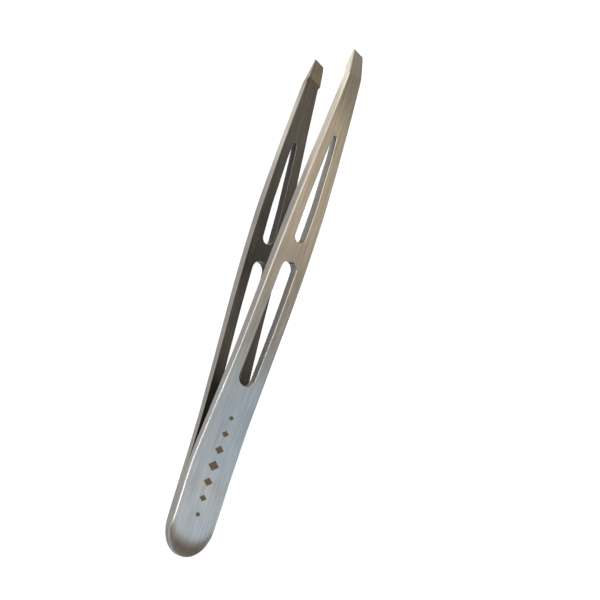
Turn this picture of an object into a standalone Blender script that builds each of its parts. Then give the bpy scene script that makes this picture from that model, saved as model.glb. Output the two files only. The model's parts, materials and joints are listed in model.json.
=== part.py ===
"""Slant tweezers: two formed stainless arms, spot-welded face to face at the heel.

The tool is modelled in its own frame first: X runs from the heel end to the tips, Y runs across the
width, and Z = 0 is the closing plane between the arms. A parent empty then lays it on Z = 0, as it
rests on a table: on the heel's end and on the belly of the lower arm.

Each arm is one spring strip on the real tool. It is made here as two nodes, the heel plate and the
blade, which meet at a slit on the flex line, where the blade's joint is.
"""
import math

import bmesh
import bpy
from mathutils import Vector

MM = 0.001

# --- Driving dimensions -------------------------------------------------------------------------
LENGTH = 96.0 * MM
HEEL_ROUND = 5.1 * MM            # length of the rounded heel end
HEEL_ROLL = 6.0 * MM             # the outer face rolls off over this length of the heel end
HEEL_DROP = 0.7 * MM             # and is this much lower at the very end
HEEL_DROP_POWER = 2.4
HEEL_CUTS = 8                    # cross-sections that follow the roll-off

FLEX_X = 22.0 * MM               # flex line, the axis that a blade swings about
FLEX_SLIT = 0.3 * MM             # clearance between a heel plate and its blade

EDGE = 0.22 * MM                 # broken edge all round each strip
BLANK_THICKNESS = 1.6 * MM       # nominal strip, before the faces are ground to their profiles
STATION = 2.0 * MM               # spacing of the cross-sections that follow the bow
STATION_MARGIN = 0.2 * MM        # and no cross-section is this close to a piece's end
SAME_POINT = 0.001 * MM          # points closer than this are one point
CUT_TOLERANCE = 0.002 * MM       # a point this close to a cross-section lies on it
SHARP_ANGLE = math.radians(25)    # faces that meet at more than this have a crisp edge

SLANT = math.radians(16.0)       # slant of the tip edge and of the grip pad
CLOSING_ANGLE = math.radians(4.5)
TIP_INNER = 5.85 * MM            # grip pad at the tip, from the closing plane, arms open
TIP_OUTER = 6.15 * MM            # outer face at the tip
TIP_LONG_CORNER_Y = 1.1 * MM
BEVEL_X = 90.8 * MM              # the outer bevel of the tip starts here, straight across
PAD_X = 91.7 * MM                # crest of the grip pad on the centre line
PAD_RAMP = 0.6 * MM              # length of the step up to the pad

HEEL_SAMPLE = 0.25 * MM          # spacing of the places where the heel may touch a table
BELLY_SAMPLE = 0.5 * MM          # and of those where the lower arm's belly may

# Half the strip's width, and its faces' heights over the closing plane, along the length (mm).
HALF_WIDTH = ((5.1, 4.35), (14, 4.45), (26, 4.1), (38, 3.85), (50, 3.75), (62, 3.45), (74, 2.8),
              (84, 2.1), (91, 1.6), (96, 1.12))
INNER_FACE = ((0, 0.15), (13, 0.15), (22, 0.5), (30, 1.4), (38, 2.3), (46, 3.1), (54, 3.75),
              (66, 4.6), (78, 5.3), (91, 5.9), (96, 6.1))
OUTER_FACE = ((0, 1.25), (13, 1.25), (22, 1.9), (30, 2.95), (38, 3.95), (46, 4.85), (54, 5.6),
              (66, 6.5), (78, 7.05), (90.8, 7.36))

# Windows through each blade: round ends at both limits, and half widths in between (mm).
GRIP_WINDOW = ((32.75, 1.75), (44, 1.75), (52.85, 1.65))
TIP_WINDOW = ((59.2, 1.2), (65, 1.18), (70, 0.94), (75, 0.68), (78.3, 0.4))
WINDOW_STATIONS = 8
ROUND_END_POINTS = 7
HEEL_END_POINTS = 10

NUGGET_X = (5.5 * MM, 11.0 * MM)
NUGGET_RADIUS = 1.5 * MM
NUGGET_THICKNESS = 0.6 * MM
POCKET_CLEARANCE = 0.3 * MM
NUGGET_SIDES = 32


# --- Smooth profiles ----------------------------------------------------------------------------
def smooth(stations, x):
    """Read a smooth, monotone curve through (x, value) stations in mm; x and result in metres."""
    xs = [station[0] * MM for station in stations]
    ys = [station[1] * MM for station in stations]
    x = min(max(x, xs[0]), xs[-1])
    index = max(i for i in range(len(xs) - 1) if xs[i] <= x)
    chords = [(ys[i + 1] - ys[i]) / (xs[i + 1] - xs[i]) for i in range(len(xs) - 1)]

    def slope(i):
        if i == 0:
            return chords[0]
        if i == len(chords):
            return chords[-1]
        before, after = chords[i - 1], chords[i]
        return 0.0 if before * after <= 0.0 else 2.0 * before * after / (before + after)

    span = xs[index + 1] - xs[index]
    t = (x - xs[index]) / span
    rise = ys[index + 1] - ys[index]
    start = slope(index) * span
    end = slope(index + 1) * span
    return ys[index] + t * (start + t * (3 * rise - 2 * start - end + t * (start + end - 2 * rise)))


def half_width(x):
    if x < HEEL_ROUND:
        reach = (HEEL_ROUND - x) / HEEL_ROUND
        return HALF_WIDTH[0][1] * MM * math.sqrt(max(0.0, 1.0 - reach * reach))
    return smooth(HALF_WIDTH, x)


def along_slant(x, y):
    """Distance from the heel of the slanted line through a point, read on the centre line."""
    return x - y * math.tan(SLANT)


def inner_height(x, y):
    """Height of the inner face: the bow, with the raised grip pad at the tip."""
    bow = smooth(INNER_FACE, x)
    pad = TIP_INNER - (LENGTH - x) * math.tan(CLOSING_ANGLE)
    rise = (along_slant(x, y) - PAD_X + PAD_RAMP) / PAD_RAMP
    return bow + (pad - bow) * min(max(rise, 0.0), 1.0)


def outer_height(x):
    """Height of the outer face: rolled off at the heel end, the bow, then the bevel to the tip."""
    if x < HEEL_ROLL:
        return OUTER_FACE[0][1] * MM - HEEL_DROP * ((HEEL_ROLL - x) / HEEL_ROLL) ** HEEL_DROP_POWER
    if x <= BEVEL_X:
        return smooth(OUTER_FACE, x)
    bevel_top = OUTER_FACE[-1][1] * MM
    return bevel_top + (TIP_OUTER - bevel_top) * (x - BEVEL_X) / (LENGTH - BEVEL_X)


# --- Plan outlines ------------------------------------------------------------------------------
def stations_between(start, end):
    """Section planes at every STATION strictly between two lengths."""
    count = int(LENGTH / STATION)
    low = start + STATION_MARGIN
    high = end - STATION_MARGIN
    return [i * STATION for i in range(count + 1) if low < i * STATION < high]


def heel_outline():
    """The heel plate in plan: an elliptical end, then the strip up to the flex slit."""
    end = FLEX_X - FLEX_SLIT / 2
    side = []
    for i in range(HEEL_END_POINTS):
        angle = math.pi / 2 * i / HEEL_END_POINTS
        side.append(HEEL_ROUND * (1.0 - math.cos(angle)))
    side += [HEEL_ROUND] + stations_between(HEEL_ROUND, end) + [end]
    right = [(x, -half_width(x)) for x in side]
    left = [(x, half_width(x)) for x in reversed(side[1:])]
    return right + left


def blade_outline():
    """The blade in plan: from the flex slit to the slanted tip edge."""
    start = FLEX_X + FLEX_SLIT / 2
    tip_half = HALF_WIDTH[-1][1] * MM
    short_x = LENGTH - (TIP_LONG_CORNER_Y + tip_half) * math.tan(SLANT)
    side = [start] + stations_between(start, short_x)
    right = [(x, -half_width(x)) for x in side] + [(short_x, -tip_half)]
    left = [(LENGTH, TIP_LONG_CORNER_Y)] + [(x, half_width(x)) for x in reversed(side)]
    return right + left


def window_outline(stations):
    """A long window with a round end at its first and last station, running clockwise."""
    first_x, first_r = stations[0][0] * MM, stations[0][1] * MM
    last_x, last_r = stations[-1][0] * MM, stations[-1][1] * MM
    upper = [first_x + (last_x - first_x) * i / WINDOW_STATIONS for i in range(WINDOW_STATIONS + 1)]
    points = [(x, smooth(stations, x)) for x in upper]
    for i in range(1, ROUND_END_POINTS):
        angle = math.pi / 2 - math.pi * i / ROUND_END_POINTS
        points.append((last_x + last_r * math.cos(angle), last_r * math.sin(angle)))
    points += [(x, -smooth(stations, x)) for x in reversed(upper)]
    for i in range(1, ROUND_END_POINTS):
        angle = -math.pi / 2 - math.pi * i / ROUND_END_POINTS
        points.append((first_x + first_r * math.cos(angle), first_r * math.sin(angle)))
    return points


# --- Making the pieces --------------------------------------------------------------------------
def new_collection(name):
    collection = bpy.data.collections.new(name)
    bpy.context.scene.collection.children.link(collection)
    return collection


def steel(name, color, roughness):
    material = bpy.data.materials.new(name)
    material.use_nodes = True
    shader = material.node_tree.nodes["Principled BSDF"]
    shader.inputs["Base Color"].default_value = (*color, 1.0)
    shader.inputs["Metallic"].default_value = 1.0
    shader.inputs["Roughness"].default_value = roughness
    material.diffuse_color = (*color, 1.0)
    return material


def cut_blank(name, outlines):
    """Stamp a flat strip with a broken edge: the first outline is the blank, the rest are holes."""
    curve = bpy.data.curves.new(name + "_blank", "CURVE")
    curve.dimensions = "2D"
    curve.fill_mode = "BOTH"
    curve.extrude = BLANK_THICKNESS / 2 - EDGE
    curve.bevel_depth = EDGE
    curve.bevel_resolution = 0
    curve.offset = -EDGE
    for outline in outlines:
        spline = curve.splines.new("POLY")
        spline.points.add(len(outline) - 1)
        for point, (x, y) in zip(spline.points, outline):
            point.co = (x, y, 0.0, 1.0)
        spline.use_cyclic_u = True
    blank = bpy.data.objects.new(name + "_blank", curve)
    bpy.context.scene.collection.objects.link(blank)
    depsgraph = bpy.context.evaluated_depsgraph_get()
    mesh = bpy.data.meshes.new_from_object(blank.evaluated_get(depsgraph))
    bpy.data.objects.remove(blank)
    bpy.data.curves.remove(curve)
    mesh.name = name
    return mesh


def form_strip(mesh, side, pivot):
    """Section the flat blank, then bend and grind it to the arm's faces; side is +1 or -1."""
    form = bmesh.new()
    form.from_mesh(mesh)
    bmesh.ops.remove_doubles(form, verts=form.verts, dist=SAME_POINT)
    across = Vector((1.0, 0.0, 0.0))
    slanted = Vector((1.0, -math.tan(SLANT), 0.0)).normalized()
    lengths = [i * HEEL_ROLL / HEEL_CUTS for i in range(1, HEEL_CUTS + 1)]
    lengths += stations_between(HEEL_ROLL, LENGTH) + [BEVEL_X]
    cuts = [(Vector((x, 0.0, 0.0)), across) for x in lengths]
    cuts += [(Vector((x, 0.0, 0.0)), slanted) for x in (PAD_X - PAD_RAMP, PAD_X)]
    for point, normal in cuts:
        geometry = form.verts[:] + form.edges[:] + form.faces[:]
        bmesh.ops.bisect_plane(form, geom=geometry, dist=CUT_TOLERANCE, plane_co=point, plane_no=normal)
    for vert in form.verts:
        x, y, z = vert.co
        depth = z / BLANK_THICKNESS + 0.5
        low = inner_height(x, y)
        high = outer_height(x)
        vert.co = Vector((x, y, side * (low + (high - low) * depth))) - pivot
    bmesh.ops.triangulate(form, faces=form.faces[:])
    bmesh.ops.recalc_face_normals(form, faces=form.faces[:])
    form.to_mesh(mesh)
    form.free()
    mesh.shade_smooth()
    mesh.set_sharp_from_angle(angle=SHARP_ANGLE)


def add_part(name, mesh, location, parent, material):
    part = bpy.data.objects.new(name, mesh)
    part.location = location
    part.parent = parent
    mesh.materials.clear()
    mesh.materials.append(material)
    parts.objects.link(part)
    return part


def flex_axis(side):
    """The middle of the strip's thickness on the flex line."""
    height = (inner_height(FLEX_X, 0.0) + outer_height(FLEX_X)) / 2
    return Vector((FLEX_X, 0.0, side * height))


def make_arm(name, side, parent):
    """One arm: a heel plate with its weld pockets, and the blade that swings on the flex line."""
    heel_mesh = cut_blank(name + "_heel_plate", [heel_outline()])
    form_strip(heel_mesh, side, Vector((0.0, 0.0, 0.0)))
    heel = add_part(name + "_heel_plate", heel_mesh, (0.0, 0.0, 0.0), parent, arm_steel)
    for number, x in enumerate(NUGGET_X, start=1):
        cut_pocket(heel, name + "_pocket_" + str(number), x, side, parent)

    pivot = flex_axis(side)
    windows = [window_outline(GRIP_WINDOW), window_outline(TIP_WINDOW)]
    blade_mesh = cut_blank(name + "_blade", [blade_outline()] + windows)
    form_strip(blade_mesh, side, pivot)
    add_part(name + "_blade", blade_mesh, pivot, parent, arm_steel)


def cylinder(name, radius, depth, location, parent):
    bpy.ops.mesh.primitive_cylinder_add(vertices=NUGGET_SIDES, radius=radius, depth=depth)
    piece = bpy.context.object
    piece.name = name
    piece.location = location
    piece.parent = parent
    for owner in piece.users_collection:
        owner.objects.unlink(piece)
    return piece


def cut_pocket(plate, name, x, side, parent):
    """Clear a round pocket for half a weld nugget in the plate's inner face."""
    depth = NUGGET_THICKNESS / 2 + POCKET_CLEARANCE
    cutter = cylinder(name, NUGGET_RADIUS + POCKET_CLEARANCE, 2 * depth, (x, 0.0, 0.0), parent)
    cutter.hide_render = True
    cutter.display_type = "WIRE"
    cutters.objects.link(cutter)
    pocket = plate.modifiers.new(name, "BOOLEAN")
    pocket.operation = "DIFFERENCE"
    pocket.object = cutter


def make_nugget(number, x, parent):
    """A resistance-weld nugget: a disc of melted steel between the two heel plates."""
    nugget = cylinder("weld_nugget_" + str(number), NUGGET_RADIUS, NUGGET_THICKNESS,
                      (x, 0.0, 0.0), parent)
    nugget.data.materials.append(weld_steel)
    parts.objects.link(nugget)


def lay_on_table(rest):
    """Tilt the tool onto its heel and the lower arm's belly, centred over the origin."""
    middle = LENGTH / 2
    heel_side = [EDGE + i * HEEL_SAMPLE for i in range(round(middle / HEEL_SAMPLE))]
    belly_side = [middle + i * BELLY_SAMPLE for i in range(1, round((BEVEL_X - middle) / BELLY_SAMPLE))]
    highest = 0.0
    tilt = 0.0
    for start in heel_side:
        for end in belly_side:
            slope = (outer_height(end) - outer_height(start)) / (end - start)
            over_middle = outer_height(start) + slope * (middle - start)
            if over_middle > highest:
                highest = over_middle
                tilt = math.atan(slope)
    rest.rotation_euler = (0.0, -tilt, 0.0)
    bpy.context.view_layer.update()
    corners = [part.matrix_world @ vert.co for part in parts.objects for vert in part.data.vertices]
    low = Vector(min(corner[axis] for corner in corners) for axis in range(3))
    high = Vector(max(corner[axis] for corner in corners) for axis in range(3))
    rest.location = (-(low.x + high.x) / 2, -(low.y + high.y) / 2, -low.z)


# --- Build --------------------------------------------------------------------------------------
for old in list(bpy.data.objects):
    bpy.data.objects.remove(old)

parts = new_collection("slant_tweezers")
cutters = new_collection("cutters")
arm_steel = steel("brushed_stainless", (0.46, 0.45, 0.43), 0.34)
weld_steel = steel("weld_stainless", (0.36, 0.34, 0.32), 0.55)

table_rest = bpy.data.objects.new("table_rest", None)
bpy.context.scene.collection.objects.link(table_rest)

make_arm("upper_arm", 1, table_rest)
make_arm("lower_arm", -1, table_rest)
for count, nugget_x in enumerate(NUGGET_X, start=1):
    make_nugget(count, nugget_x, table_rest)
lay_on_table(table_rest)
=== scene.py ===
import json
import math

import bmesh
import bpy
from mathutils import Matrix, Vector, geometry


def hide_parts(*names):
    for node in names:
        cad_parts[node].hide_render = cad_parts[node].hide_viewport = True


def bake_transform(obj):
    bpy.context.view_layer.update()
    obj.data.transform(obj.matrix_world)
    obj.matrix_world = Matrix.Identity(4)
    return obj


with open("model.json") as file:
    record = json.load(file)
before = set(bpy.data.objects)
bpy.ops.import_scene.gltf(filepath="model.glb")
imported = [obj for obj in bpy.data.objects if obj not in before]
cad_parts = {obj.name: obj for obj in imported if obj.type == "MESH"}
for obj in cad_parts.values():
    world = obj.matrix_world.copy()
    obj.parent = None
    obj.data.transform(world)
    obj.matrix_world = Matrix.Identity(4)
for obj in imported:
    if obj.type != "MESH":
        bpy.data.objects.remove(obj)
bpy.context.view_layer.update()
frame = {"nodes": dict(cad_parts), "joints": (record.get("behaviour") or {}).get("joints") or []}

MM = 0.001

# The strip's profile along its length, in mm from the heel end: half width, and the heights of its
# inner and outer faces over the closing plane. The CAD arms have the same faces, but for a wider
# gap between the heels, a straight roll-off and no crown.
LENGTH = 96.0
FLEX_X = 22.0
HEEL_ROUND = 5.1
HEEL_ROLL = 5.0          # the outer face rolls off over the last stretch of the heel
HEEL_ROLL_DROP = 0.7
HEEL_ROLL_POWER = 3.0
HEEL_ROLL_FOLLOW = 0.9   # how closely the roll-off follows the rounded end: 1 is all the way
HEEL_ROLL_SIDE = 0.5     # share of the drop that is lost at the sides
MOST_HEEL_REACH = 0.95   # the roll-off stays the same past this share of the half width
CROWN = 0.018            # how far the outer face falls towards its sides, for each mm of half width
CROWN_FADE = 8.0         # the crown fades out over this length before the bevel
HALF_WIDTH = ((5.1, 4.35), (14, 4.45), (26, 4.1), (38, 3.85), (50, 3.75), (62, 3.45), (74, 2.8),
              (84, 2.1), (91, 1.6), (96, 1.12))
INNER_FACE = ((0, 0.012), (13, 0.012), (17, 0.12), (22, 0.5), (30, 1.4), (38, 2.3), (46, 3.1),
              (54, 3.75), (66, 4.6), (78, 5.3), (91, 5.9), (96, 6.1))
OUTER_FACE = ((0, 1.25), (13, 1.25), (22, 1.9), (30, 2.95), (38, 3.95), (46, 4.85), (54, 5.6),
              (66, 6.5), (78, 7.05), (86, 7.3), (90.8, 7.32))
GRIP_WINDOW = ((32.75, 1.75), (44, 1.75), (52.85, 1.65))
TIP_WINDOW = ((59.2, 1.2), (65, 1.18), (70, 0.94), (75, 0.68), (78.3, 0.4))

SLANT = math.tan(math.radians(16.0))
CLOSING_SLOPE = math.tan(math.radians(4.5))
TIP_INNER = 5.85
TIP_OUTER = 6.15
TIP_LONG_CORNER_Y = 1.1
BEVEL_X = 90.8
PAD_CREST = 91.7
PAD_FOOT = 91.1

# Radii of the rounded edges, in mm.
OUTER_EDGE = 0.30        # the outer face's edge on the long corner's side
TIP_EDGE = 0.50          # and near the tips, where that side was ground
TIP_GROUND = (66.0, 80.0)        # the stretch over which the grinding sets in
SHORT_SIDE_EDGE = 0.13   # the outer face's edge on the short corner's side
SIDE_BLEND = 1.0         # one side's radius turns into the other's this far round the centre line
WINDOW_EDGE = 0.18       # a window's rim on the short corner's side
WINDOW_FAR_EDGE = 0.07   # and on its other side
WINDOW_BLEND = 0.4       # the rim's radius changes over this much on each side of the centre line
INNER_EDGE = 0.12        # the inner face's edges
INNER_EDGE_DOUBLES = (70.0, 82.0)    # they grow to twice that over this stretch
PAD_EDGE = 0.04          # and are crisp round the ground pad
MOST_EDGE = 0.35         # a radius is at most this share of the strip's thickness

# The polish and painted highlight of the windows' rims and of the inner face's edges, as shares of the
# outer edges'.
WINDOW_SHINE = 0.6
INNER_SHINE = 0.5

# How finely the meshes are made.
EDGE_STEPS = 5           # steps in an edge's rounding
HEEL_STEPS = 22          # steps in a quarter of the heel's round
WINDOW_STEPS = 14        # steps in a window's round end
GRID = 0.7               # spacing of the faces' inner points, in mm
LINE_STEP = 0.49         # spacing of points on a ground line
SIDE_STEP = 0.7          # spacing of the outline's points
TIP_STEP = 0.37          # spacing of the points on the tip's edge
CLEAR = 0.5              # inner points keep this share of GRID from rims and ground lines


# --- The tool's own frame -----------------------------------------------------------------------
def tool_frame():
    """The matrix from the tool's own frame (heel end at 0, closing plane at Z = 0) to the row frame."""
    axes = {joint["child"]: Vector(joint["pos_m"]) for joint in frame["joints"]}
    middle = (axes["upper_arm"] + axes["lower_arm"]) / 2
    up = (axes["upper_arm"] - axes["lower_arm"]).normalized()
    across = Vector((0.0, 1.0, 0.0))
    along = across.cross(up)
    turn = Matrix((along, across, up)).transposed().to_4x4()
    return Matrix.Translation(middle - along * FLEX_X * MM) @ turn


TOOL = tool_frame()


def in_row(x, y, z):
    """A point of the tool's frame, in mm, as a row-frame point in metres."""
    return TOOL @ Vector((x * MM, y * MM, z * MM))


def in_row_direction(x, y, z):
    """A direction of the tool's frame as a unit vector of the row frame."""
    return (TOOL.to_3x3() @ Vector((x, y, z))).normalized()


# --- Profiles -----------------------------------------------------------------------------------
def share(value, low, high):
    """How far a value is on the way from low to high: 0 before low, and 1 past high."""
    return min(max((value - low) / (high - low), 0.0), 1.0)


def smooth(stations, x):
    """Read a smooth, monotone curve through (x, value) stations."""
    xs = [station[0] for station in stations]
    ys = [station[1] for station in stations]
    x = min(max(x, xs[0]), xs[-1])
    index = max(i for i in range(len(xs) - 1) if xs[i] <= x)
    chords = [(ys[i + 1] - ys[i]) / (xs[i + 1] - xs[i]) for i in range(len(xs) - 1)]

    def slope(i):
        if i == 0:
            return chords[0]
        if i == len(chords):
            return chords[-1]
        before, after = chords[i - 1], chords[i]
        return 0.0 if before * after <= 0.0 else 2.0 * before * after / (before + after)

    span = xs[index + 1] - xs[index]
    t = (x - xs[index]) / span
    rise = ys[index + 1] - ys[index]
    start = slope(index) * span
    end = slope(index + 1) * span
    return ys[index] + t * (start + t * (3 * rise - 2 * start - end + t * (start + end - 2 * rise)))


def half_width(x):
    if x < HEEL_ROUND:
        reach = (HEEL_ROUND - x) / HEEL_ROUND
        return HALF_WIDTH[0][1] * math.sqrt(max(0.0, 1.0 - reach * reach))
    return smooth(HALF_WIDTH, x)


def inner_height(x, y):
    bow = smooth(INNER_FACE, x)
    pad = TIP_INNER - (LENGTH - x) * CLOSING_SLOPE
    return bow + (pad - bow) * share(x - y * SLANT, PAD_FOOT, PAD_CREST)


def outer_height(x, y):
    """The outer face: slightly crowned, rolled off all round the heel end, bevelled at the tip."""
    if x > BEVEL_X:
        bevel_top = OUTER_FACE[-1][1]
        return bevel_top + (TIP_OUTER - bevel_top) * (x - BEVEL_X) / (LENGTH - BEVEL_X)
    width = half_width(x) if x > HEEL_ROUND else HALF_WIDTH[0][1]
    fade = min(1.0, (BEVEL_X - x) / CROWN_FADE)
    crown = CROWN * fade * min(y * y / width, width)
    return smooth(OUTER_FACE, x) - crown - heel_roll(x, y)


def heel_roll(x, y):
    """How far the outer face is rolled off: it follows the rounded end, and is less at the sides."""
    reach = min(abs(y) / HALF_WIDTH[0][1], MOST_HEEL_REACH)
    end_x = HEEL_ROLL_FOLLOW * HEEL_ROUND * (1.0 - math.sqrt(1.0 - reach * reach))
    drop = HEEL_ROLL_DROP * (1.0 - HEEL_ROLL_SIDE * reach * reach)
    return drop * max(0.0, 1.0 - (x - end_x) / HEEL_ROLL) ** HEEL_ROLL_POWER


# --- Outlines in plan ---------------------------------------------------------------------------
def spaced(start, end, step):
    """Stations from start to end, both included, no further apart than step."""
    count = max(1, math.ceil((end - start) / step))
    return [start + (end - start) * i / count for i in range(count + 1)]


def slant_crossing(u, side):
    """Where the slanted line that crosses the centre line at u meets one side of the strip."""
    x = u
    enough_rounds = 30
    for _ in range(enough_rounds):
        x = u + side * half_width(x) * SLANT
    return x


def side_stations(side, end):
    """Stations along one side, from the heel's round to the tip, with the ground lines' ends."""
    marks = sorted([slant_crossing(PAD_FOOT, side), slant_crossing(PAD_CREST, side), BEVEL_X])
    stations = spaced(HEEL_ROUND, marks[0], SIDE_STEP)
    for start, stop in zip(marks, marks[1:] + [end]):
        stations += spaced(start, stop, SIDE_STEP)[1:]
    return stations


def arm_outline():
    """The strip in plan, counter-clockwise, starting at the heel end."""
    tip_half = HALF_WIDTH[-1][1]
    short_x = LENGTH - (TIP_LONG_CORNER_Y + tip_half) * SLANT
    turns = [math.pi / 2 * i / HEEL_STEPS for i in range(HEEL_STEPS)]
    heel = [(HEEL_ROUND * (1.0 - math.cos(a)), HALF_WIDTH[0][1] * math.sin(a)) for a in turns]
    right = [(x, -half_width(x)) for x in side_stations(-1, short_x)[:-1]]
    left = [(x, half_width(x)) for x in side_stations(1, LENGTH)[:-1]]
    edge = spaced(-tip_half, TIP_LONG_CORNER_Y, TIP_STEP)
    tip = [(LENGTH - (TIP_LONG_CORNER_Y - y) * SLANT, y) for y in edge]
    bottom = [(x, -y) for x, y in heel[1:]]
    return [heel[0]] + bottom + right + tip + list(reversed(left)) + list(reversed(heel[1:]))


def window_outline(stations):
    """A window in plan, counter-clockwise, with a round end at its first and last station."""
    first_x, first_r = stations[0]
    last_x, last_r = stations[-1]
    along = spaced(first_x, last_x, SIDE_STEP)
    turns = [math.pi * i / WINDOW_STEPS for i in range(1, WINDOW_STEPS)]
    points = [(x, -smooth(stations, x)) for x in along]
    for turn in turns:
        angle = turn - math.pi / 2
        points.append((last_x + last_r * math.cos(angle), last_r * math.sin(angle)))
    points += [(x, smooth(stations, x)) for x in reversed(along)]
    for turn in turns:
        angle = turn + math.pi / 2
        points.append((first_x + first_r * math.cos(angle), first_r * math.sin(angle)))
    return points


def outward(points, is_hole):
    """For each point of an outline, the offset that moves both its sides 1 mm out of the steel."""
    offsets = []
    sign = -1.0 if is_hole else 1.0
    least_cosine = 0.5
    for i, point in enumerate(points):
        here = Vector(point)
        before = (here - Vector(points[i - 1])).normalized()
        after = (Vector(points[(i + 1) % len(points)]) - here).normalized()
        n1 = Vector((before.y, -before.x))
        n2 = Vector((after.y, -after.x))
        middle = (n1 + n2).normalized()
        offsets.append(middle * sign / max(least_cosine, middle.dot(n1)))
    return offsets


def is_inside(x, y, points):
    """Even-odd test of a point in a closed outline."""
    inside = False
    for (x1, y1), (x2, y2) in zip(points, points[1:] + points[:1]):
        if (y1 > y) != (y2 > y) and x < x1 + (y - y1) * (x2 - x1) / (y2 - y1):
            inside = not inside
    return inside


def is_on_face(x, y, outlines):
    """True inside the first outline and outside the others, which are windows."""
    if not is_inside(x, y, outlines[0]):
        return False
    return not any(is_inside(x, y, hole) for hole in outlines[1:])


# --- One arm ------------------------------------------------------------------------------------
def most_edge(x, y):
    """The largest edge radius that the strip's thickness allows."""
    return MOST_EDGE * (outer_height(x, y) - inner_height(x, y))


def side_edge(x, y):
    """The radius of the outer face's edge along the strip's sides."""
    radius = OUTER_EDGE + (TIP_EDGE - OUTER_EDGE) * share(x, *TIP_GROUND)
    radius += (SHORT_SIDE_EDGE - radius) * share(-y, -SIDE_BLEND, SIDE_BLEND)
    return min(radius, most_edge(x, y))


def window_edge(x, y):
    """The radius of the outer face's edge along a window's rim."""
    radius = WINDOW_EDGE + (WINDOW_FAR_EDGE - WINDOW_EDGE) * share(y, -WINDOW_BLEND, WINDOW_BLEND)
    return min(radius, most_edge(x, y))


def inner_edge(x, y):
    """The radius of the inner face's edges."""
    if x > PAD_FOOT:
        return PAD_EDGE
    return min(INNER_EDGE, most_edge(x, y)) * (1.0 + share(x, *INNER_EDGE_DOUBLES))


def ring(form, layers, points, offsets, step, outer, wall):
    """One row of an edge's rounding: step 0 lies on the face, and EDGE_STEPS on the strip's side."""
    verts = []
    angle = math.pi / 2 * step / EDGE_STEPS
    shine = (1.0 if wall == "side" else WINDOW_SHINE) * (1.0 if outer else INNER_SHINE)
    radius = inner_edge
    if outer:
        radius = side_edge if wall == "side" else window_edge
    for (x, y), offset in zip(points, offsets):
        size = radius(x, y)
        px = x - offset.x * size * (1.0 - math.sin(angle))
        py = y - offset.y * size * (1.0 - math.sin(angle))
        drop = size * (1.0 - math.cos(angle))
        top = outer_height(px, py)
        z = top - drop if outer else inner_height(px, py) + drop
        vert = form.verts.new((px, py, z))
        vert[layers["strip"]] = Vector((px, py, z - top))
        # The edge value peaks half way round the rounding: it carries the edge's polish and its painted
        # highlight.
        vert[layers["edge"]] = math.sin(2 * angle) * shine
        vert[layers["inner"]] = 0.0 if outer else math.cos(angle)
        away = offset.normalized() * math.sin(angle)
        vert[layers["round"]] = Vector((away.x, away.y, math.cos(angle)))
        vert[layers[wall]] = share(math.sin(angle), 0.7, 1.0)
        verts.append(vert)
    return verts


def bridge(form, first, second, flip):
    """Quads between two rows that have the same number of points."""
    count = len(first)
    for i in range(count):
        j = (i + 1) % count
        corners = (first[i], first[j], second[j], second[i])
        form.faces.new(corners if flip else tuple(reversed(corners)))


def chain(rim, ends):
    """The rim's points nearest to a ground line's ends, and even points on the line between them."""
    places = []
    for x, y in ends:
        distances = [(px - x) ** 2 + (py - y) ** 2 for px, py in rim]
        places.append(distances.index(min(distances)))
    start, stop = Vector(rim[places[0]]), Vector(rim[places[1]])
    count = max(2, round((stop - start).length / LINE_STEP))
    return places, [start.lerp(stop, i / count) for i in range(1, count)]


def grid_points(outlines, line_points):
    """A triangular grid of points on a face, clear of its rims and its ground lines."""
    kept_clear = [Vector(point) for points in outlines for point in points] + line_points
    widest = 10.0
    rows = int(widest / GRID)
    points = []
    for i in range(1, int(LENGTH / GRID)):
        for j in range(-rows // 2, rows // 2 + 1):
            place = Vector((i * GRID, (j + 0.5 * (i % 2)) * GRID))
            if abs(place.y) > half_width(place.x) or not is_on_face(place.x, place.y, outlines):
                continue
            near = [p for p in kept_clear if abs(p.x - place.x) < GRID]
            if all((p - place).length >= CLEAR * GRID for p in near):
                points.append(place)
    return points


def fill_face(form, layers, rims, outer, lines):
    """Triangles over a face, inside its outline's rim and outside its windows' rims."""
    verts = [vert for rim in rims for vert in rim]
    flat = [Vector((vert.co.x, vert.co.y)) for vert in verts]
    outlines = [[(vert.co.x, vert.co.y) for vert in rim] for rim in rims]
    edges = []
    start = 0
    for rim in rims:
        count = len(rim)
        edges += [(start + i, start + (i + 1) % count) for i in range(count)]
        start += count
    for ends in lines:
        places, between = chain(outlines[0], ends)
        indices = [places[0]] + list(range(len(flat), len(flat) + len(between))) + [places[1]]
        flat += between
        edges += list(zip(indices, indices[1:]))
    flat += grid_points(outlines, flat[len(verts):])
    triangles_inside = 1
    same_point = 1e-6
    result = geometry.delaunay_2d_cdt(flat, edges, [], triangles_inside, same_point)
    places, triangles, origins = result[0], result[2], result[3]
    made = []
    for place, origin in zip(places, origins):
        known = [index for index in origin if index < len(verts)]
        if known:
            made.append(verts[known[0]])
            continue
        top = outer_height(place.x, place.y)
        z = top if outer else inner_height(place.x, place.y)
        vert = form.verts.new((place.x, place.y, z))
        vert[layers["strip"]] = Vector((place.x, place.y, z - top))
        vert[layers["inner"]] = 0.0 if outer else 1.0
        vert[layers["round"]] = Vector((0.0, 0.0, 1.0))
        made.append(vert)
    for triangle in triangles:
        corners = [made[index] for index in triangle]
        middle = sum((corner.co for corner in corners), Vector()) / len(corners)
        if not is_on_face(middle.x, middle.y, outlines):
            continue
        face = form.faces.new(corners)
        face.normal_update()
        if (face.normal.z > 0) != outer:
            face.normal_flip()


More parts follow.
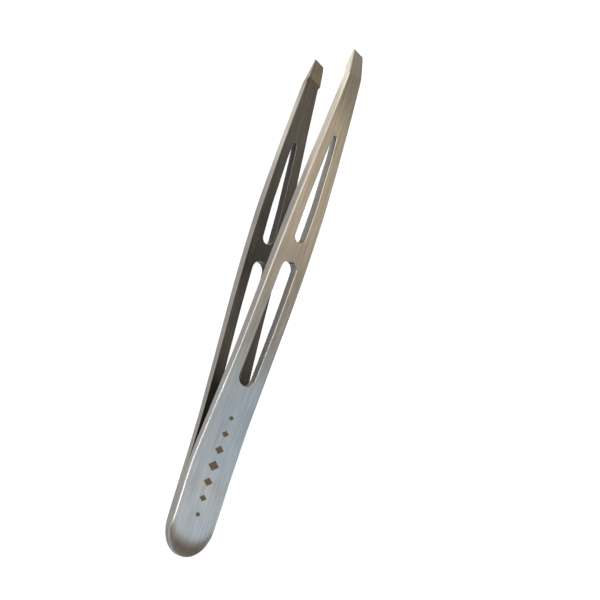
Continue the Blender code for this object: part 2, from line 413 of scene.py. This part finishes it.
def build_arm(name, side):
    """One whole spring arm, from the heel to the tip. Each vertex carries its place in the strip (x, y
    and height over the outer face), how far it belongs to a rounded edge, the inner face, the strip's
    side or a window's wall, and its edge's direction."""
    form = bmesh.new()
    layers = {
        "strip": form.verts.layers.float_vector.new("strip"),
        "edge": form.verts.layers.float.new("edge"),
        "inner": form.verts.layers.float.new("inner"),
        "side": form.verts.layers.float.new("side"),
        "window": form.verts.layers.float.new("window"),
        "round": form.verts.layers.float_vector.new("round"),
    }
    outlines = [(arm_outline(), False)]
    outlines += [(window_outline(window), True) for window in (GRIP_WINDOW, TIP_WINDOW)]
    outer_rims = []
    inner_rims = []
    for points, is_hole in outlines:
        offsets = outward(points, is_hole)
        wall = "window" if is_hole else "side"
        rows = []
        for step in range(EDGE_STEPS + 1):
            rows.append(ring(form, layers, points, offsets, step, True, wall))
        for step in range(EDGE_STEPS, -1, -1):
            rows.append(ring(form, layers, points, offsets, step, False, wall))
        for first, second in zip(rows, rows[1:]):
            bridge(form, first, second, is_hole)
        outer_rims.append(rows[0])
        inner_rims.append(rows[-1])
    bevel_line = [(BEVEL_X, -half_width(BEVEL_X)), (BEVEL_X, half_width(BEVEL_X))]
    pad_lines = []
    for u in (PAD_FOOT, PAD_CREST):
        low, high = slant_crossing(u, -1), slant_crossing(u, 1)
        pad_lines.append([(low, -half_width(low)), (high, half_width(high))])
    fill_face(form, layers, outer_rims, True, [bevel_line])
    fill_face(form, layers, inner_rims, False, pad_lines)
    for vert in form.verts:
        place = in_row(vert.co.x, vert.co.y, side * vert.co.z)
        vert.co = (place.x, place.y, max(place.z, 0.0))
    if side < 0:
        bmesh.ops.reverse_faces(form, faces=form.faces[:])
    normals = corner_normals(form, layers, side)
    mesh = bpy.data.meshes.new(name)
    form.to_mesh(mesh)
    form.free()
    mesh.shade_smooth()
    mesh.normals_split_custom_set(normals)
    arm = bpy.data.objects.new(name, mesh)
    bpy.context.scene.collection.objects.link(arm)
    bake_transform(arm)
    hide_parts(name + "_heel_plate", name + "_blade")
    return arm


def face_normal(x, y, inner):
    """The outward normal of the outer or the inner face, from the slopes of its height."""
    height = inner_height if inner else outer_height
    step = 0.02
    along = (height(x + step, y) - height(x - step, y)) / (2 * step)
    across = (height(x, y + step) - height(x, y - step)) / (2 * step)
    normal = Vector((-along, -across, 1.0)).normalized()
    return -normal if inner else normal


def corner_normals(form, layers, side):
    """Exact normals for every face corner: smooth everywhere but at the bevel's and the pad's lines,
    where each corner takes the normal of its own side of the line."""
    near = 0.06
    turn = TOOL.to_3x3()
    known = {}
    normals = []
    form.verts.index_update()
    for face in form.faces:
        middle = sum((vert[layers["strip"]] for vert in face.verts), Vector()) / len(face.verts)
        for vert in face.verts:
            x, y, _ = vert[layers["strip"]]
            inner = vert[layers["inner"]] > 0.0
            slant = SLANT if inner else 0.0
            lines = (PAD_FOOT, PAD_CREST) if inner else (BEVEL_X,)
            u = x - y * slant
            shift = 0.0
            if min(abs(u - line) for line in lines) < near:
                shift = math.copysign(2 * near, middle.x - middle.y * slant - u)
            key = (vert.index, shift)
            if key not in known:
                away = vert[layers["round"]]
                normal = face_normal(x + shift, y, inner) * away.z + Vector((away.x, away.y, 0.0))
                normal.z *= side
                known[key] = turn @ normal.normalized()
            normals.append(known[key])
    return normals


# --- Materials ----------------------------------------------------------------------------------
def along_strip(*levels):
    """Grey color stops, by distance from the heel end in mm."""
    return tuple((x / LENGTH, (level, level, level)) for x, level in levels)


# Brightness ramps along the strip. The faces' ramp is partly uneven polish and partly painted
# reflection, darker at the bevel's line. The rounded edges' ramp is painted highlight. The inner face's
# ramp is painted shade towards the heel and painted sheen by the tips. Each arm's sides are brighter
# where they were ground by the tips, with painted light on top; the lower arm's sides are darker by its
# tip.
FACE_WEAR_AND_SHEEN = along_strip(
    (0, 1.0), (16, 0.99), (23, 0.88), (34, 0.92), (42, 0.97), (49, 0.93), (55, 1.05), (68, 1.13),
    (80, 1.06), (86, 0.88), (90.6, 0.76), (91, 0.95), (96, 0.96))
# Painted highlight along the rounded edges: brighter or dimmer along the strip.
EDGE_PAINTED_HIGHLIGHT = along_strip(
    (0, 0.5), (4, 0.65), (6, 1.6), (9, 1.35), (12, 1.2), (20, 1.1), (25, 1.02), (29, 1.3), (35, 0.72),
    (40, 0.64), (47, 0.95), (54, 1.12), (60, 0.98), (68, 1.2), (76, 1.04), (83, 0.98), (90, 1.4),
    (96, 1.35))
INNER_SHADE_AND_SHEEN = along_strip(
    (0, 0.35), (30, 0.38), (35, 0.78), (40, 0.96), (45, 0.86), (50, 0.74), (65, 0.78), (75, 1.04),
    (80, 1.2), (87, 1.42), (91, 1.2), (96, 1.18))
# Each arm's sides: brighter where they were ground by the tips, with painted light on top; the lower
# arm's sides carry painted shade by its tip.
UPPER_SIDE_GRIND_AND_LIGHT = along_strip(
    (0, 0.235), (24, 0.26), (30, 0.29), (38, 0.235), (66, 0.235), (76, 0.41), (80, 0.50),
    (86, 0.44), (91, 0.72), (96, 0.60))
LOWER_SIDE_GRIND_AND_SHADE = along_strip(
    (0, 0.235), (66, 0.245), (76, 0.43), (80, 0.50), (86, 0.44), (91, 0.28), (96, 0.45))

# Colors of the steel: the brushed face's duller and brighter bands, the inner face, darkened with
# painted shade from the other arm, the ground pad and its step, the blanked sides, the rounded edges'
# polish with a painted highlight, bluer by the heel, each arm's window walls, darkened with painted
# shade, the lower arm's nearly black under the upper arm, and the etched mark. Then the weld metal's
# darker and lighter grain, and the floor.
DULL_BAND = (0.39, 0.382, 0.37)
BRIGHT_BAND = (0.46, 0.452, 0.435)
# The inner face's tone is darkened with painted shade from the other arm.
INNER_SHADE_TONE = (0.105, 0.103, 0.101)
INNER_COVER = 0.92       # how far the inner face's color hides the brushed bands
PAD_TONE = (0.22, 0.20, 0.185)
STEP_TONE = (0.19, 0.155, 0.125)
SIDE_TONE = (1.0, 0.93, 0.85)
TIP_SIDE_TONE = (1.0, 0.92, 0.76)
# Tones of the rounded edges: polish with a painted highlight, bluer by the heel.
HEEL_HIGHLIGHT_TONE = (0.61, 0.67, 0.75)
EDGE_POLISH_AND_HIGHLIGHT_TONE = (0.66, 0.65, 0.63)
EDGE_COVER = 0.35
# Window walls darkened with painted shade; the lower arm's, under the upper arm, are nearly black.
UPPER_WINDOW_SHADE = (0.22, 0.205, 0.19)
LOWER_WINDOW_SHADE = (0.045, 0.038, 0.032)
MARK_TONE = (0.060, 0.047, 0.030)
WELD_DARK = (0.28, 0.26, 0.24)
WELD_LIGHT = (0.44, 0.42, 0.40)
FLOOR_TONE = (0.50, 0.55, 0.65)
SCRATCH_DEPTH = 0.00002  # in metres


class Nodes:
    """Short calls for building a node tree of a material or of the world."""

    def __init__(self, owner):
        owner.use_nodes = True
        self.tree = owner.node_tree
        self.shader = self.tree.nodes.get("Principled BSDF")
        self.background = self.tree.nodes.get("Background")

    def link(self, output, socket):
        self.tree.links.new(output, socket)

    def add(self, kind, **settings):
        node = self.tree.nodes.new(kind)
        for name, value in settings.items():
            setattr(node, name, value)
        return node

    def feed(self, socket, value):
        if isinstance(value, bpy.types.NodeSocket):
            self.link(value, socket)
        else:
            socket.default_value = value

    def attribute(self, name, output):
        node = self.add("ShaderNodeAttribute", attribute_name=name)
        return node.outputs[output]

    def math(self, operation, a, b=0.0):
        node = self.add("ShaderNodeMath", operation=operation)
        self.feed(node.inputs[0], a)
        self.feed(node.inputs[1], b)
        return node.outputs[0]

    def parts(self, vector):
        node = self.add("ShaderNodeSeparateXYZ")
        self.link(vector, node.inputs[0])
        return node.outputs

    def vector(self, operation, a, b):
        node = self.add("ShaderNodeVectorMath", operation=operation)
        self.feed(node.inputs[0], a)
        self.feed(node.inputs[1], b)
        return node.outputs[0]

    def noise(self, place, stretch, detail, roughness=0.5):
        node = self.add("ShaderNodeTexNoise")
        self.link(self.vector("MULTIPLY", place, stretch), node.inputs["Vector"])
        node.inputs["Scale"].default_value = 1.0
        node.inputs["Detail"].default_value = detail
        node.inputs["Roughness"].default_value = roughness
        return node.outputs["Fac"]

    def ramp(self, value, stops):
        """A color ramp over 0 to 1, with (position, color) stops."""
        node = self.add("ShaderNodeValToRGB")
        self.feed(node.inputs[0], value)
        while len(node.color_ramp.elements) < len(stops):
            node.color_ramp.elements.new(0.5)
        for element, (position, color) in zip(node.color_ramp.elements, stops):
            element.position = position
            element.color = (*color, 1.0)
        return node.outputs[0]

    def scaled(self, color, factor):
        node = self.add("ShaderNodeVectorMath", operation="SCALE")
        self.feed(node.inputs[0], color)
        self.feed(node.inputs["Scale"], factor)
        return node.outputs[0]

    def spread(self, value, low, high, to_low=0.0, to_high=1.0):
        node = self.add("ShaderNodeMapRange")
        for socket, number in zip(node.inputs[:5], (value, low, high, to_low, to_high)):
            self.feed(socket, number)
        return node.outputs[0]

    def mix(self, factor, a, b, blend="MIX"):
        node = self.add("ShaderNodeMix", data_type="RGBA", blend_type=blend)
        self.feed(node.inputs[0], factor)
        self.feed(node.inputs[6], (*a, 1.0) if isinstance(a, tuple) else a)
        self.feed(node.inputs[7], (*b, 1.0) if isinstance(b, tuple) else b)
        return node.outputs[2]


def brushed_steel(name, marked, side_grind_and_light, window_shade):
    """Satin stainless, brushed along the strip: streaks, soft cloudy wear and polished edges. The
    blanked sides are duller than the faces, except by the tips, where they were ground. Painted light
    lies on top, in ramps along the strip: painted reflection on the faces, painted highlights on the
    rounded edges, painted shade on the inner face and the window walls, and painted light and shade on
    the sides."""
    material = bpy.data.materials.new(name)
    nodes = Nodes(material)
    shader = nodes.shader
    strip = nodes.attribute("strip", "Vector")
    edge = nodes.attribute("edge", "Fac")
    inner = nodes.attribute("inner", "Fac")
    side = nodes.attribute("side", "Fac")
    window = nodes.attribute("window", "Fac")
    x = nodes.parts(strip)[0]
    scratches = nodes.noise(strip, (0.11, 2.6, 2.6), 4.0, 0.65)
    bands = nodes.noise(strip, (0.04, 0.9, 0.9), 2.0)
    clouds = nodes.noise(strip, (0.14, 0.25, 0.25), 3.0)

    tone = nodes.mix(bands, DULL_BAND, BRIGHT_BAND)
    # Painted reflection along the outer faces, on top of uneven polish, darker at the bevel's line.
    tone = ramped_along_strip(nodes, tone, strip, FACE_WEAR_AND_SHEEN)
    # Painted shade on the inner face, cast by the other arm.
    tone = nodes.mix(nodes.math("MULTIPLY", inner, INNER_COVER), tone, INNER_SHADE_TONE)
    on_pad, on_crest = pad_masks(nodes, strip)
    pad_tone = nodes.mix(on_crest, STEP_TONE, PAD_TONE)
    tone = nodes.mix(nodes.math("MULTIPLY", on_pad, inner), tone, pad_tone)
    # Painted shade on the inner face towards the heel, and painted sheen by the tips.
    tone = nodes.mix(inner, tone, ramped_along_strip(nodes, tone, strip, INNER_SHADE_AND_SHEEN))
    by_the_tips = nodes.spread(x, 68.0, 80.0)
    sides = nodes.mix(by_the_tips, SIDE_TONE, TIP_SIDE_TONE)
    # The sides: ground by the tips, and lit or shaded along the strip by painted light.
    tone = nodes.mix(side, tone, ramped_along_strip(nodes, sides, strip, side_grind_and_light))
    # Painted shade on the window walls.
    tone = nodes.mix(window, tone, window_shade)
    # Painted highlight on the rounded edges, bluer by the heel, made brighter or dimmer along the strip.
    past_flex = nodes.spread(x, 30.0, 46.0)
    edge_highlight_tone = nodes.mix(past_flex, HEEL_HIGHLIGHT_TONE, EDGE_POLISH_AND_HIGHLIGHT_TONE)
    tone = nodes.mix(nodes.math("MULTIPLY", edge, EDGE_COVER), tone, edge_highlight_tone)
    tone = nodes.mix(edge, tone, ramped_along_strip(nodes, tone, strip, EDGE_PAINTED_HIGHLIGHT))
    dull = nodes.spread(edge, 0.0, 1.0, 0.73, 0.92)
    bright = nodes.spread(edge, 0.0, 1.0, 1.24, 1.06)
    streak_value = nodes.spread(scratches, 0.25, 0.75, dull, bright)
    cloud_value = nodes.spread(clouds, 0.3, 0.7, 0.93, 1.07)
    tone = nodes.scaled(tone, nodes.math("MULTIPLY", streak_value, cloud_value))
    roughness = nodes.spread(scratches, 0.2, 0.8, 0.25, 0.36)
    roughness = nodes.math("ADD", roughness, nodes.math("MULTIPLY", inner, 0.14))
    roughness = nodes.math("ADD", roughness, nodes.math("MULTIPLY", edge, 0.03))
    metallic = 1.0
    if marked:
        mark = etched_mark(nodes, strip, inner)
        tone = nodes.mix(mark, tone, MARK_TONE)
        roughness = nodes.math("ADD", roughness, nodes.math("MULTIPLY", mark, 0.25))
        metallic = nodes.math("SUBTRACT", 1.0, nodes.math("MULTIPLY", mark, 0.6))

    bump = nodes.add("ShaderNodeBump")
    nodes.feed(bump.inputs["Strength"], nodes.spread(edge, 0.0, 0.5, 0.4, 0.05))
    bump.inputs["Distance"].default_value = SCRATCH_DEPTH
    nodes.link(scratches, bump.inputs["Height"])

    normal = nodes.add("ShaderNodeNewGeometry").outputs["Normal"]
    across = nodes.vector("CROSS_PRODUCT", normal, tuple(in_row_direction(1.0, 0.0, 0.0)))

    nodes.feed(shader.inputs["Base Color"], tone)
    nodes.feed(shader.inputs["Roughness"], roughness)
    nodes.feed(shader.inputs["Metallic"], metallic)
    nodes.link(bump.outputs["Normal"], shader.inputs["Normal"])
    nodes.link(across, shader.inputs["Tangent"])
    shader.inputs["Anisotropic"].default_value = 0.7
    return material


def ramped_along_strip(nodes, tone, strip, unevenness):
    """A tone made brighter or duller along the strip by a ramp of painted light and shade, for the faces
    on top of uneven polish.
    """
    level = nodes.ramp(nodes.math("DIVIDE", nodes.parts(strip)[0], LENGTH), unevenness)
    return nodes.mix(1.0, tone, level, "MULTIPLY")


def pad_masks(nodes, strip):
    """1 past the slanted line at the ground grip pad's foot, and 1 past the line at its crest."""
    x, y, _ = nodes.parts(strip)
    along = nodes.math("SUBTRACT", x, nodes.math("MULTIPLY", y, SLANT))
    on_pad = nodes.spread(along, PAD_FOOT - 0.15, PAD_FOOT + 0.05)
    on_crest = nodes.spread(along, PAD_CREST - 0.1, PAD_CREST + 0.1)
    return on_pad, on_crest


def etched_mark(nodes, strip, inner):
    """A plain row of etched lozenges on the heel, worn a little by the brushing: 1 inside the mark."""
    count = 7
    pitch = 2.9
    first = 7.6
    half_length = 1.0
    half_height = 1.25
    shrink = 0.17            # each lozenge away from the middle one is this much smaller
    x, y, _ = nodes.parts(strip)
    cell = nodes.math("DIVIDE", nodes.math("SUBTRACT", x, first), pitch)
    number = nodes.math("ROUND", cell)
    offset = nodes.math("MULTIPLY", nodes.math("SUBTRACT", cell, number), pitch)
    middle = (count - 1) / 2
    from_middle = nodes.math("ABSOLUTE", nodes.math("SUBTRACT", number, middle))
    size = nodes.math("SUBTRACT", 1.0, nodes.math("MULTIPLY", from_middle, shrink))
    reach_x = nodes.math("DIVIDE", nodes.math("ABSOLUTE", offset), half_length)
    reach_y = nodes.math("DIVIDE", nodes.math("ABSOLUTE", y), half_height)
    reach = nodes.math("DIVIDE", nodes.math("ADD", reach_x, reach_y), size)
    unevenness = nodes.noise(strip, (2.0, 9.0, 9.0), 2.0)
    reach = nodes.math("ADD", reach, nodes.spread(unevenness, 0.3, 0.7, -0.05, 0.07))
    inside = nodes.spread(reach, 1.0, 0.9)
    in_row_of_marks = nodes.math("LESS_THAN", from_middle, middle + 0.5)
    outer_side = nodes.math("LESS_THAN", inner, 0.01)
    return nodes.math("MULTIPLY", nodes.math("MULTIPLY", inside, in_row_of_marks), outer_side)


def weld_steel():
    """Dull grey weld metal with a fine grain."""
    material = bpy.data.materials.new("weld_metal")
    nodes = Nodes(material)
    place = nodes.add("ShaderNodeTexCoord").outputs["Object"]
    grain = nodes.noise(place, (4000.0, 4000.0, 4000.0), 3.0)
    tone = nodes.mix(grain, WELD_DARK, WELD_LIGHT)
    nodes.feed(nodes.shader.inputs["Base Color"], tone)
    nodes.feed(nodes.shader.inputs["Roughness"], nodes.spread(grain, 0.3, 0.7, 0.45, 0.65))
    nodes.shader.inputs["Metallic"].default_value = 1.0
    return material


def pale_floor():
    material = bpy.data.materials.new("pale_floor")
    nodes = Nodes(material)
    nodes.shader.inputs["Base Color"].default_value = (*FLOOR_TONE, 1.0)
    nodes.shader.inputs["Roughness"].default_value = 0.9
    nodes.shader.inputs["Specular IOR Level"].default_value = 0.1
    return material


# --- The pieces ---------------------------------------------------------------------------------
upper_arm = build_arm("upper_arm", 1)
lower_arm = build_arm("lower_arm", -1)
upper_steel = brushed_steel("upper_arm_steel", True, UPPER_SIDE_GRIND_AND_LIGHT, UPPER_WINDOW_SHADE)
lower_steel = brushed_steel("lower_arm_steel", False, LOWER_SIDE_GRIND_AND_SHADE, LOWER_WINDOW_SHADE)
upper_arm.data.materials.append(upper_steel)
lower_arm.data.materials.append(lower_steel)
weld_metal = weld_steel()
for node_name in ("weld_nugget_1", "weld_nugget_2"):
    nugget = frame["nodes"][node_name]
    nugget.data.materials.clear()
    nugget.data.materials.append(weld_metal)


# --- Floor, light and camera --------------------------------------------------------------------
# The overhead light's color by direction along X, from the heel's side (-1) to the tips' side (1).
DOME = ((-0.75, (0.48, 0.42, 0.33)), (-0.56, (0.18, 0.15, 0.12)), (-0.38, (0.20, 0.17, 0.14)),
        (-0.28, (0.50, 0.46, 0.40)), (-0.18, (0.54, 0.50, 0.43)), (-0.12, (0.68, 0.66, 0.60)),
        (-0.07, (0.61, 0.56, 0.49)), (-0.03, (0.50, 0.42, 0.34)), (0.01, (0.60, 0.49, 0.38)),
        (0.05, (0.84, 0.69, 0.51)), (0.10, (1.02, 0.85, 0.62)), (0.16, (0.86, 0.72, 0.53)),
        (0.26, (0.62, 0.52, 0.38)), (0.34, (0.42, 0.36, 0.27)), (0.66, (0.45, 0.39, 0.29)),
        (1.0, (0.42, 0.39, 0.30)))
WALL = (0.86, 0.86, 0.85)
FLAG = (0.30, 0.28, 0.26)
BACKDROP = (1.0, 1.0, 1.0)

# The softboxes: a name, the place on the strip that each one faces (mm from the heel end), the
# direction from there in the tool's frame, the distance and the size along and across the strip (in
# metres), the radiance and the color.
SOFTBOXES = (
    ("heel_key", 15, (0.0, 0.54, 0.84), 0.3, (0.026, 0.12), 10.0, (0.93, 0.97, 1.0)),
    ("key", 50, (0.10, 0.55, 0.85), 0.7, (0.26, 0.26), 2.3, (1.0, 0.96, 0.88)),
    ("warm_fill", 90, (0.58, 0.55, 0.80), 0.7, (0.26, 0.26), 3.0, (1.0, 0.93, 0.80)),
    ("window", 2, (0.0, -0.537, 0.843), 0.15, (0.038, 0.09), 1.03, (0.42, 0.70, 1.0)),
    ("rim_light", 53, (-0.66, 0.12, 0.73), 0.3, (0.05, 0.05), 1.6, (0.75, 0.88, 1.0)),
)
FLOOR_LIGHT = 5.1
FLOOR_LIGHT_COLOR = (1.0, 0.913, 0.773)
FLOOR_SIZE = 6.0

# The camera's place in the tool's frame, in mm, and its turn about X, Y and Z, in degrees.
CAMERA_PLACE = (8.61, 107.90, 170.53)
CAMERA_TURN = (-0.7515, -35.8068, -69.0433)
LENS = 68.4
SENSOR = 36.0


def add_floor():
    bpy.ops.mesh.primitive_plane_add(size=FLOOR_SIZE, location=(0.0, 0.0, 0.0))
    floor = bpy.context.object
    floor.name = "floor"
    floor.data.materials.append(pale_floor())


def add_softbox(name, aim, direction, distance, size, radiance, color):
    """A rectangular area light that faces a point of the strip from a direction of the tool's frame."""
    data = bpy.data.lights.new(name, "AREA")
    data.shape = "RECTANGLE"
    data.size, data.size_y = size
    data.energy = radiance * math.pi * size[0] * size[1]
    data.color = color
    light = bpy.data.objects.new(name, data)
    away = in_row_direction(*direction)
    over = away.cross(in_row_direction(1.0, 0.0, 0.0)).normalized()
    turn = Matrix((over.cross(away).normalized(), over, away)).transposed().to_4x4()
    light.matrix_world = Matrix.Translation(in_row(aim, 0.0, 0.0) + away * distance) @ turn
    light.visible_camera = False
    bpy.context.scene.collection.objects.link(light)


def add_floor_light():
    """An even light from straight above that only whitens the floor: it casts no shadow, and the
    steel doesn't show it."""
    data = bpy.data.lights.new("floor_light", "SUN")
    data.energy = FLOOR_LIGHT
    data.color = FLOOR_LIGHT_COLOR
    data.use_shadow = False
    light = bpy.data.objects.new("floor_light", data)
    light.visible_glossy = False
    light.location = (0.0, 0.0, 1.0)
    bpy.context.scene.collection.objects.link(light)


def add_studio():
    """A studio dome with a plain white backdrop. What lights the steel is pale at the horizon, and
    overhead it sweeps from a dark flag over the heel, through a soft warm wall, to a dimmer room
    beyond the tips."""
    world = bpy.data.worlds.new("studio")
    bpy.context.scene.world = world
    nodes = Nodes(world)
    direction = nodes.add("ShaderNodeTexCoord").outputs["Generated"]
    x, y, z = nodes.parts(direction)
    stops = [(0.5 + 0.5 * position, color) for position, color in DOME]
    sweep = nodes.ramp(nodes.spread(x, -1.0, 1.0), stops)
    across = nodes.spread(y, -0.75, -0.35, 0.55, 1.35)
    overhead = nodes.scaled(sweep, across)
    rise = nodes.spread(z, 0.20, 0.50)
    away_from_heel = nodes.spread(x, -0.55, -0.2)
    flag = nodes.mix(away_from_heel, FLAG, WALL)
    horizon = nodes.mix(nodes.spread(z, 0.05, 0.12), WALL, flag)
    seen = nodes.add("ShaderNodeLightPath").outputs["Is Camera Ray"]
    light = nodes.mix(rise, horizon, overhead)
    nodes.link(nodes.mix(seen, light, BACKDROP), nodes.background.inputs["Color"])


def add_camera():
    """The photograph's view: from above the upper arm's outer face, rolled so that the tips point up."""
    data = bpy.data.cameras.new("camera")
    data.lens = LENS
    data.sensor_width = SENSOR
    data.clip_start = 0.01
    camera = bpy.data.objects.new("camera", data)
    bpy.context.scene.collection.objects.link(camera)
    turn = [math.radians(angle) for angle in CAMERA_TURN]
    place = Matrix.Translation(Vector(CAMERA_PLACE) * MM)
    spin = (Matrix.Rotation(turn[2], 4, "Z") @ Matrix.Rotation(turn[1], 4, "Y")
            @ Matrix.Rotation(turn[0], 4, "X"))
    camera.matrix_world = TOOL @ place @ spin
    bpy.context.scene.camera = camera


add_floor()
for softbox in SOFTBOXES:
    add_softbox(*softbox)
add_floor_light()
add_studio()
add_camera()
bpy.context.scene.view_settings.view_transform = "Standard"
